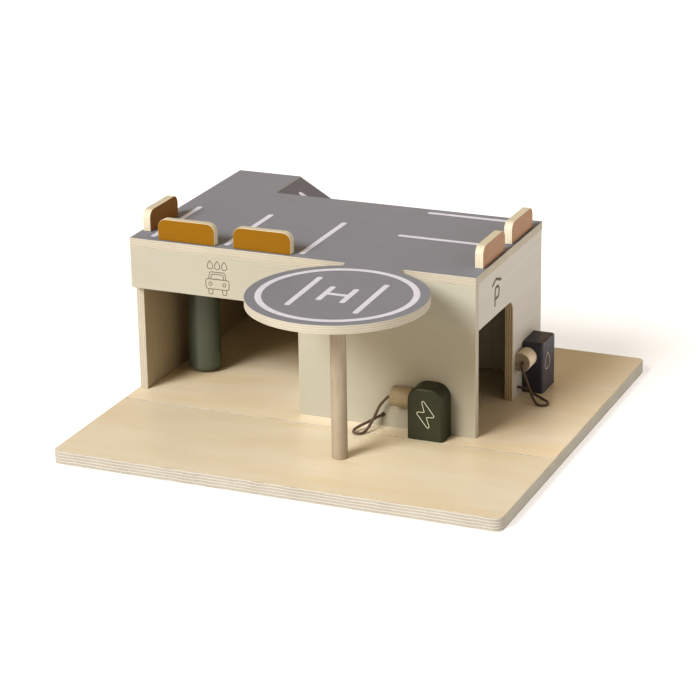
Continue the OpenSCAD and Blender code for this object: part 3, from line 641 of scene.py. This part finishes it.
# The left bumper's ochre is bluer than the front ones': painted reflection of the pale room on its face.
ochre_painted_reflection = shade("#8a6327")
blush = shade("#a07e62")
bumper_edge = (shade("#d8d4c6"), shade("#c6bfab"))
bumpers = {
    "front_left_bumper": (ochre, "ochre_paint"),
    "front_right_bumper": (ochre, "ochre_paint"),
    "left_bumper": (ochre_painted_reflection, "ochre_paint"),
    "right_front_bumper": (blush, "blush_paint"),
    "right_back_bumper": (blush, "blush_paint"),
}
for bumper_name, (paint, slot) in bumpers.items():
    low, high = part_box(bumper_name)
    long_side = 0 if high.x - low.x > high.y - low.y else 1
    across = backward if long_side == 0 else rightward
    centre = (low + high)[long_side] / 2
    bumper = block(bumper_name + "_ply", low, high)
    pick(bumper, "EDGE", lambda e: near(middle(e).z, high.z) and abs(middle(e)[long_side] - centre) > mm)
    round_edges(bumper_corner, 10)
    ease_edges(bumper, edge_ease)
    painted_ply = plywood("bumper_" + bumper_name, across, low[1 - long_side], sheet, sheet_plies,
                          grain_left_to_right, wash_face, bumper_edge, strength=0.4, roughness=0.5,
                          paint=paint, paint_both=True, paint_roughness=0.42)
    finish_piece(bumper, painted_ply, slot, bumper_name)

# Charger and fuel pump
# Two solid wooden blocks, painted dark green and charcoal and screwed on from inside the hall.
# A round magnet is sunk in each, where its plug is held.
block_round = 3 * mm
charger_arch = 15 * mm
pump_round = 2.8 * mm
magnet_width = 8.1 * mm
magnet_depth = 3.05 * mm


def paint_finish(name, colour, roughness=0.4, patch=0.85):
    """Satin paint on wood: even, with a faint brushed unevenness and the grain just showing."""
    finish, tree, shader, coords = new_finish(name)
    place = coords.outputs["Object"]
    clouds = between(tree, grain_noise(tree, place, no_grain, 45, 3), 0.3, 0.7)
    coat = blend_colours(tree, clouds, colour, darker(colour, patch))
    brushed = grain_noise(tree, place, no_grain, 120, 4)
    rough = between(tree, brushed, 0.3, 0.7, roughness - 0.05, roughness + 0.08)
    add_relief(tree, shader, grain_noise(tree, place, (2.4, 2.4, 0.3), 240, 3), 0.2, 0.15 * mm)
    tree.links.new(coat, shader.inputs["Base Color"])
    tree.links.new(rough, shader.inputs["Roughness"])
    return finish


def magnet_middles():
    """The middles of the charger's and the pump's magnets, the two solids of one CAD node."""
    points = [v.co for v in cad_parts["block_magnets"].data.vertices]
    split_x = (charger_box[1].x + pump_box[0].x) / 2
    halves = [[p for p in points if p.x < split_x], [p for p in points if p.x >= split_x]]
    return [sum(half, Vector()) / len(half) for half in halves]


charger_magnet, pump_magnet = magnet_middles()
charger_low, charger_high = charger_box
charger = block("charger_wood", charger_low, charger_high)
pick(charger, "EDGE",
     lambda e: near(middle(e).z, charger_high.z) and abs(middle(e).x - charger_middle_x) > mm)
round_edges(charger_arch, 14)
pick(charger, "EDGE", lambda e: near(middle(e).y, charger_low.y) and middle(e).z > charger_low.z + mm)
round_edges(block_round, 4)
drill(charger, (charger_low.x, *charger_magnet.yz), rightward, magnet_width, 2 * magnet_depth)
ease_edges(charger, fine_ease)
finish_piece(charger, paint_finish("charger_green", shade("#3c402f")), "charger_paint", "charger_block")

pump_low, pump_high = pump_box
pump = block("fuel_pump_wood", pump_low, pump_high)
pick(pump, "EDGE", lambda e: middle(e).x > pump_low.x + mm and middle(e).z > pump_low.z + mm)
round_edges(pump_round, 4)
drill(pump, (pump_magnet.x, pump_low.y, pump_magnet.z), backward, magnet_width, 2 * magnet_depth)
ease_edges(pump, fine_ease)
finish_piece(pump, paint_finish("pump_charcoal", shade("#494a55")), "pump_paint", "fuel_pump_block")

# Signs
# Line drawings: a car under drops and a roofed letter burnt into the white-washed walls, a bolt
# and a drop printed in cream on the two blocks. All are plain signs of the kind a street has.
burnt_width = 0.8 * mm
printed_width = 0.9 * mm
parking_width = 2.9 * mm
film_share = 0.2


def rounded_path(corners, radius, closed=True, steps=5):
    """A line through corners that turns each one on a small curve."""
    points = []
    count = len(corners)
    for i, corner in enumerate(corners):
        corner = Vector(corner)
        if not closed and i in (0, count - 1):
            points.append(corner)
            continue
        before, after = Vector(corners[i - 1]), Vector(corners[(i + 1) % count])
        reach = min(radius, (before - corner).length / 2.2, (after - corner).length / 2.2)
        start = corner + (before - corner).normalized() * reach
        end = corner + (after - corner).normalized() * reach
        for k in range(steps + 1):
            t = k / steps
            points.append((1 - t) ** 2 * start + 2 * t * (1 - t) * corner + t * t * end)
    return points


def drop_path(x, bottom, width, height, steps=28):
    """The outline of a drop: a point above and a round belly below."""
    belly = 0.65 * width
    points = []
    for k in range(steps):
        turn = 2 * math.pi * k / steps
        points.append(Vector((x + belly * math.sin(turn) * abs(math.sin(turn / 2)),
                              bottom + height * (1 + math.cos(turn)) / 2)))
    return points


def ring_path(x, y, radius, steps=20):
    """A circle as a line."""
    turns = [2 * math.pi * k / steps for k in range(steps)]
    return [Vector((x + radius * math.cos(t), y + radius * math.sin(t))) for t in turns]


def drawn_sign(name, paths, width, axis, level, finish, slot):
    """Lines drawn on a flat face, in millimetres. The face lies across an axis, at a level on it."""
    lines = bpy.data.curves.new(name, "CURVE")
    lines.dimensions = "3D"
    lines.bevel_depth = width / 2
    lines.bevel_resolution = 2
    lines.use_fill_caps = True
    for points, closed in paths:
        spline = lines.splines.new("POLY")
        spline.points.add(len(points) - 1)
        spline.use_cyclic_u = closed
        for (u, v), spot in zip(points, spline.points):
            spot.co = (u * mm, level, v * mm, 1) if axis == 1 else (level, u * mm, v * mm, 1)
    sign = bpy.data.objects.new(name, lines)
    bpy.context.scene.collection.objects.link(sign)
    take_up(sign)
    bpy.ops.object.convert(target="MESH")
    flat = [1, 1, 1]
    flat[axis] = film_share
    centre = [0, 0, 0]
    centre[axis] = level
    bpy.ops.object.mode_set(mode="EDIT")
    bpy.ops.mesh.select_all(action="SELECT")
    bpy.ops.transform.resize(value=flat, center_override=centre)
    finish_piece(bpy.context.object, finish, slot)


burnt = print_finish("burnt_line", shade("#6b6254"), roughness=0.7)
cream_ink = print_finish("cream_ink", shade("#cdcfc2"))
wash_sign = [(drop_path(x, 161.1, 6.2, 8.9), True) for x in (-144.9, -136.7, -128.7)]
wash_sign += [
    (rounded_path([(-146.9, 150.3), (-145.5, 158.1), (-128.2, 158.1), (-127.2, 150.3)], 2.2, False), False),
    (rounded_path([(-144.7, 150.3), (-143.4, 155.8), (-130.3, 155.8), (-129.6, 150.3)], 1.8), True),
    (rounded_path([(-150.4, 150.3), (-123.5, 150.3), (-123.8, 139.5), (-150.2, 139.4)], 3.2), True),
    (ring_path(-145, 145, 1.8), True),
    (ring_path(-129.1, 144.9, 1.8), True),
    (rounded_path([(-147.1, 139.4), (-147.1, 133.7), (-142.6, 133.7), (-142.6, 139.4)], 2.2, False), False),
    (rounded_path([(-131.3, 139.4), (-131.3, 133.9), (-126.7, 133.9), (-126.7, 139.4)], 2.2, False), False),
]
drawn_sign("car_wash_sign", wash_sign, burnt_width, axis=1, level=panel_low.y, finish=burnt,
           slot="wall_ply")
parking_sign = [
    (rounded_path([(-3, 160.3), (8.3, 165.3), (23.5, 160.4)], 2, False), False),
    (rounded_path([(5.2, 136.5), (5.7, 156.6), (17.5, 156), (17, 144.6), (6.5, 144.4)], 5, False), False),
]
drawn_sign("parking_sign", parking_sign, parking_width, axis=0, level=right_high.x, finish=burnt,
           slot="wall_ply")
bolt_corners = [
    (98.2, 54.6), (98.9, 56.2), (100.3, 56.1), (101.2, 55), (111, 42.2), (111.4, 40.9), (110.4, 39.8),
    (103, 39.2), (105.9, 30.6), (106, 28.9), (104.8, 27.8), (103.5, 28.4), (93.1, 41.6), (92.9, 43),
    (94, 44.2), (101, 44.3),
]
bolt_sign = [(rounded_path(bolt_corners, 0.9), True)]
drawn_sign("bolt_sign", bolt_sign, printed_width, axis=1, level=charger_low.y, finish=cream_ink,
           slot="charger_paint")
fuel_sign = [(drop_path(106.7, 37.7, 15, 18.5), True)]
drawn_sign("fuel_sign", fuel_sign, printed_width, axis=0, level=pump_high.x, finish=cream_ink,
           slot="pump_paint")

# Post, dowels and axle
# Round beech rods, sanded: the pad's post, the roller's fixed axle, and the dowels and pegs
# that are glued into the sheets and hardly show.


def beech_finish(name, light, dark, axis, roughness):
    """Turned beech: fine grain along the rod, short dark rays and darker end grain."""
    finish, tree, shader, coords = new_finish(name)
    place = coords.outputs["Object"]
    stretch = tuple(0.12 if i == axis else 1.0 for i in range(3))
    grain = grain_noise(tree, place, stretch, 320, 4, 0.3)
    rays = grain_noise(tree, place, stretch, 1500, 2)
    clouds = grain_noise(tree, place, no_grain, 40, 2)
    grain_tone = between(tree, grain, 0.3, 0.7, 0, 0.6)
    tone = maths(tree, "ADD", grain_tone, between(tree, clouds, 0.3, 0.7, 0, 0.4))
    wood = blend_colours(tree, tone, light, dark)
    ray_share = maths(tree, "MULTIPLY", between(tree, rays, 0.62, 0.72), 0.25)
    wood = blend_colours(tree, ray_share, wood, darker(dark, 0.6))
    rod = tuple(float(i == axis) for i in range(3))
    facing = along_line(tree, coords.outputs["Normal"], rod)
    end_share = between(tree, maths(tree, "ABSOLUTE", facing), 0.75, 0.9, 0, 0.75)
    wood = blend_colours(tree, end_share, wood, darker(dark, 0.42))
    add_relief(tree, shader, grain, 0.25, 0.1 * mm)
    tree.links.new(wood, shader.inputs["Base Color"])
    shader.inputs["Roughness"].default_value = roughness
    return finish


post_wood = beech_finish("post_wood", shade("#a79e90"), shade("#998f80"), axis=2, roughness=0.42)
rod_wood = beech_finish("rod_wood", shade("#d9c6a0"), shade("#c4ab7e"), axis=2, roughness=0.55)
give_finish(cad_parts["helipad_post"], post_wood)
for rod_name in ("roller_axle", "base_dowels", "roof_dowels", "ramp_dowels", "bumper_pegs"):
    give_finish(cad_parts[rod_name], rod_wood)

# Car-wash roller
# A turned wooden roller, painted dark green, with rounded ends. It turns on the fixed axle
# between two steel washers.
roller_paint = paint_finish("roller_green", shade("#566056"), roughness=0.36, patch=0.93)
roller_paint.node_tree.nodes["Principled BSDF"].inputs["Specular IOR Level"].default_value = 1.0
give_finish(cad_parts["wash_roller"], roller_paint)

# Screws, washers and magnets
# Zinc-plated wood screws hold the walls and the two blocks, and zinc-plated washers lie at both
# ends of the roller. Nickel-plated magnets are sunk flush in blocks and plugs.


def steel_finish(name, colour, roughness):
    """Plated steel with fine scratches."""
    finish, tree, shader, coords = new_finish(name)
    scratches = grain_noise(tree, coords.outputs["Object"], no_grain, 2200, 2)
    rough = between(tree, scratches, 0.3, 0.7, roughness - 0.06, roughness + 0.1)
    worn = blend_colours(tree, between(tree, scratches, 0.35, 0.65), colour, darker(colour, 0.85))
    tree.links.new(worn, shader.inputs["Base Color"])
    tree.links.new(rough, shader.inputs["Roughness"])
    shader.inputs["Metallic"].default_value = 1.0
    return finish


zinc = steel_finish("zinc", shade("#b9bbbd"), roughness=0.34)
nickel = steel_finish("nickel", shade("#cfcdc8"), roughness=0.2)
for part_name in ("wall_screws", "block_screws", "roller_washers"):
    give_finish(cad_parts[part_name], zinc)
for part_name in ("block_magnets", "charger_plug_magnet", "fuel_plug_magnet"):
    give_finish(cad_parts[part_name], nickel)

# Plugs
# Short lengths of 21 mm beech rod with a flat along one side, bored for the cord at one end
# and for a magnet at the other. They are held on their blocks by the magnets alone.
# The charger plug's beech is darker and greyer than the fuel plug's: painted shade.
charger_plug_wood_painted_shade = beech_finish("charger_plug_wood_painted_shade", shade("#aa9f8a"), shade("#988c76"),
                                 axis=0, roughness=0.55)
fuel_plug_wood = beech_finish("fuel_plug_wood", shade("#dfd5c6"), shade("#cbbda8"),
                              axis=1, roughness=0.55)
give_finish(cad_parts["charger_plug"], charger_plug_wood_painted_shade)
give_finish(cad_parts["fuel_plug"], fuel_plug_wood)

# Cords
# Round braided cotton cord, 3 mm thick, glued into each plug. It hangs in a small loop on the
# ground board and goes through a hole in the wall, where a knot stops it.
cord_width = 3 * mm
cord_sides = 16
cord_strands = 8
cord_weave = 6
ring_step = 0.5 * mm
charger_route = [
    (69, -60.2, 51), (64.5, -60.2, 51), (60, -60.2, 51), (56.4, -60.2, 50), (53.4, -60.2, 47.4),
    (50.2, -60.2, 43.8), (46.6, -60.4, 39), (44.2, -61.4, 33.8), (42.4, -63.8, 28.6), (40.8, -67.6, 23.8),
    (39.4, -72.4, 19.6), (38, -77.6, 16.8), (36, -82, 15.6), (32.8, -85, 15.6), (28.8, -85, 15.7),
    (26.1, -81.8, 16.2), (26.6, -77, 17.4), (30.2, -71.4, 19.3), (35, -66, 21.4), (39.4, -61, 23.4),
    (43.6, -56.2, 25.4), (47, -52, 26.5), (47, -47.5, 26.5), (47, -43, 26.5),
]
fuel_route = [
    (155.2, 78, 54.5), (155.2, 73.5, 54.5), (155.2, 69, 54.5), (155.6, 65.6, 52.8), (156.9, 64.2, 48.6),
    (158.9, 64.4, 43), (161, 64.8, 37.2), (163, 65, 31.6), (165.4, 64.5, 26.2), (168.6, 62.6, 21),
    (172.2, 59.6, 17.4), (175.8, 56.8, 15.8), (179.6, 55.2, 15.6), (183.4, 56.2, 15.6), (185.7, 59.4, 15.8),
    (185.4, 63.2, 16.2), (182.8, 66.2, 16.8), (178.2, 68.4, 17.6), (172, 71.2, 18.8), (165.4, 74, 20.2),
    (159, 76.4, 21.8), (153, 78, 23.2), (147, 78, 23.5), (142.5, 78, 23.5), (138, 78, 23.5),
]


def smooth_route(points, per_gap=12):
    """A smooth line through a route's points, in metres, as many small steps."""
    points = [Vector(p) * mm for p in points]
    padded = [2 * points[0] - points[1]] + points + [2 * points[-1] - points[-2]]
    line = []
    for i in range(1, len(padded) - 2):
        a, b, c, d = padded[i - 1:i + 3]
        for k in range(per_gap):
            t = k / per_gap
            line.append(0.5 * (2 * b + (c - a) * t + (2 * a - 5 * b + 4 * c - d) * t * t
                               + (3 * b - a - 3 * c + d) * t ** 3))
    return line + [points[-1]]


def even_steps(line, step):
    """The same line with its points an even step apart, and its length."""
    lengths = [0.0]
    for a, b in zip(line, line[1:]):
        lengths.append(lengths[-1] + (b - a).length)
    count = round(lengths[-1] / step)
    points = []
    place = 0
    for k in range(count + 1):
        want = lengths[-1] * k / count
        while place < len(line) - 2 and lengths[place + 1] < want:
            place += 1
        share = (want - lengths[place]) / (lengths[place + 1] - lengths[place])
        points.append(line[place].lerp(line[place + 1], share))
    return points, lengths[-1]


def braided_tube(name, line, width, step):
    """A tube along a line with a braid's crossing strands, and a map of its turn and length."""
    twist = 2 * math.pi / (4.2 * width)
    relief = 0.05 * width
    shape = bmesh.new()
    rings = []
    side = Vector((0, 0, 1))
    for i, centre in enumerate(line):
        ahead = (line[min(i + 1, len(line) - 1)] - line[max(i - 1, 0)]).normalized()
        side = (side - side.dot(ahead) * ahead).normalized()
        up = ahead.cross(side)
        ring = []
        for k in range(cord_sides):
            turn = 2 * math.pi * k / cord_sides
            along = i * step * twist
            around = cord_strands * turn / 2
            weave = max(math.cos(around + along), math.cos(around - along))
            radius = width / 2 - relief * (1 - weave)
            ring.append(shape.verts.new(centre + radius * (math.cos(turn) * side + math.sin(turn) * up)))
        rings.append(ring)
    uv = shape.loops.layers.uv.new("UVMap")
    for i in range(len(rings) - 1):
        for k in range(cord_sides):
            after = (k + 1) % cord_sides
            face = shape.faces.new((rings[i][k], rings[i][after], rings[i + 1][after], rings[i + 1][k]))
            corners = ((k, i), (k + 1, i), (k + 1, i + 1), (k, i + 1))
            for loop, (turn, ring) in zip(face.loops, corners):
                loop[uv].uv = (turn / cord_sides, ring * step / (width * math.pi))
            face.smooth = True
    shape.faces.new(reversed(rings[0]))
    shape.faces.new(rings[-1])
    bmesh.ops.recalc_face_normals(shape, faces=shape.faces)
    tube = bpy.data.meshes.new(name)
    shape.to_mesh(tube)
    shape.free()
    piece = bpy.data.objects.new(name, tube)
    bpy.context.scene.collection.objects.link(piece)
    return piece


def cord_finish(name, light, dark):
    """Braided cotton: strands of two near browns that cross, matt, with a soft fuzz."""
    finish, tree, shader, coords = new_finish(name)
    spots = add(tree, "ShaderNodeSeparateXYZ", {0: coords.outputs["UV"]})
    turn = maths(tree, "MULTIPLY", spots.outputs[0], cord_strands)
    run = maths(tree, "MULTIPLY", spots.outputs[1], cord_weave)
    one_way = maths(tree, "SINE", maths(tree, "MULTIPLY", maths(tree, "ADD", turn, run), math.pi))
    other_way = maths(tree, "SINE", maths(tree, "MULTIPLY", maths(tree, "SUBTRACT", turn, run), math.pi))
    crossing = between(tree, maths(tree, "MULTIPLY", one_way, other_way), -0.6, 0.6, 0, 0.7)
    fuzz = grain_noise(tree, coords.outputs["Object"], no_grain, 2400, 3)
    tone = maths(tree, "ADD", crossing, between(tree, fuzz, 0.35, 0.65, 0, 0.3))
    tree.links.new(blend_colours(tree, tone, light, dark), shader.inputs["Base Color"])
    add_relief(tree, shader, tone, 0.5, 0.2 * mm)
    shader.inputs["Roughness"].default_value = 0.85
    shader.inputs["Sheen Weight"].default_value = 0.3
    return finish


cord_cotton = cord_finish("cord_cotton", shade("#776858"), shade("#4c3d36"))
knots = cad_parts["cord_knots"]
give_finish(knots, cord_cotton)
cord_rows = (
    ("charger_cord_braid", charger_route, "charger_cord", "charger_plug", 27 * mm, 49 * mm),
    ("fuel_cord_braid", fuel_route, "fuel_cord", "fuel_plug", 24.5 * mm, 50 * mm),
)
for cord_name, route, cad_cord, plug, held_z, plug_z in cord_rows:
    line, cord_length = even_steps(smooth_route(route), ring_step)
    braid = braided_tube(cord_name, line, cord_width, ring_step)
    give_finish(braid, cord_cotton)
    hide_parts(cad_cord)
    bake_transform(braid)

# Floor, light and camera
# A plain white table top, a soft light from the front left with a low warm one beside it, and a dim
# warm room that is brighter low on the right and behind the toy. The camera stands where the
# photograph was taken.
bpy.ops.mesh.primitive_plane_add(size=12, location=(0, 0, 0))
floor = bpy.context.object
floor.name = "table_top"
table_finish, _, table_shader, _ = new_finish("table_white")
table_shader.inputs["Base Color"].default_value = (0.6, 0.6, 0.6, 1)
table_shader.inputs["Emission Color"].default_value = (1, 1, 1, 1)
table_shader.inputs["Emission Strength"].default_value = 0.39
table_shader.inputs["Roughness"].default_value = 0.9
table_shader.inputs["Specular IOR Level"].default_value = 0.1
give_finish(floor, table_finish)


def sun_light(name, towards, strength, width, colour):
    """A far soft light: towards points from the toy to it, and its width is an angle in degrees."""
    bpy.ops.object.light_add(type="SUN", location=towards)
    lamp = bpy.context.object
    lamp.name = name
    lamp.data.energy = strength
    lamp.data.angle = math.radians(width)
    lamp.data.color = colour
    lamp.rotation_euler = (-Vector(towards)).to_track_quat("-Z", "Y").to_euler()


sun_light("key_light", (-0.346, -0.73, 0.59), 2.35, 26, (0.965, 0.985, 1))
sun_light("low_fill", (-0.42, -0.85, 0.32), 0.65, 40, (1, 0.76, 0.48))
world = bpy.data.worlds.new("studio")
bpy.context.scene.world = world
world.use_nodes = True
room = world.node_tree
direction = add(room, "ShaderNodeSeparateXYZ", {0: add(room, "ShaderNodeTexCoord").outputs["Generated"]})
height_share = maths(room, "MULTIPLY", direction.outputs[2], 0.8)
low_right = maths(room, "SUBTRACT", direction.outputs[0], height_share)
low_behind = maths(room, "SUBTRACT", direction.outputs[1], direction.outputs[2])
right_glow = between(room, low_right, 0, 1, 0.22, 1.5)
back_glow = between(room, low_behind, 0.4, 1, 0, 1.5)
brightness = maths(room, "ADD", right_glow, back_glow)
warm_room = (1, 0.78, 0.52, 1)
pale_room = (1, 0.96, 0.92, 1)
room_tone = blend_colours(room, between(room, low_right, 0, 0.8), warm_room, pale_room)
room.links.new(room_tone, room.nodes["Background"].inputs[0])
room.links.new(brightness, room.nodes["Background"].inputs[1])

camera_place = Vector((0.9723, -2.2993, 0.9830))
camera_azimuth = math.radians(23.16)
camera_elevation = math.radians(20.03)
camera_roll = math.radians(-0.87)
camera_lens = 131.17
look = Vector((-math.sin(camera_azimuth) * math.cos(camera_elevation),
               math.cos(camera_azimuth) * math.cos(camera_elevation), -math.sin(camera_elevation)))
bpy.ops.object.camera_add(location=camera_place)
camera = bpy.context.object
camera.data.lens = camera_lens
camera.data.sensor_width = 36
camera.rotation_euler = look.to_track_quat("-Z", "Y").to_euler()
camera.rotation_euler.rotate_axis("Z", camera_roll)
bpy.context.scene.camera = camera
bpy.context.scene.view_settings.view_transform = "Standard"
bpy.context.scene.view_settings.look = "High Contrast"
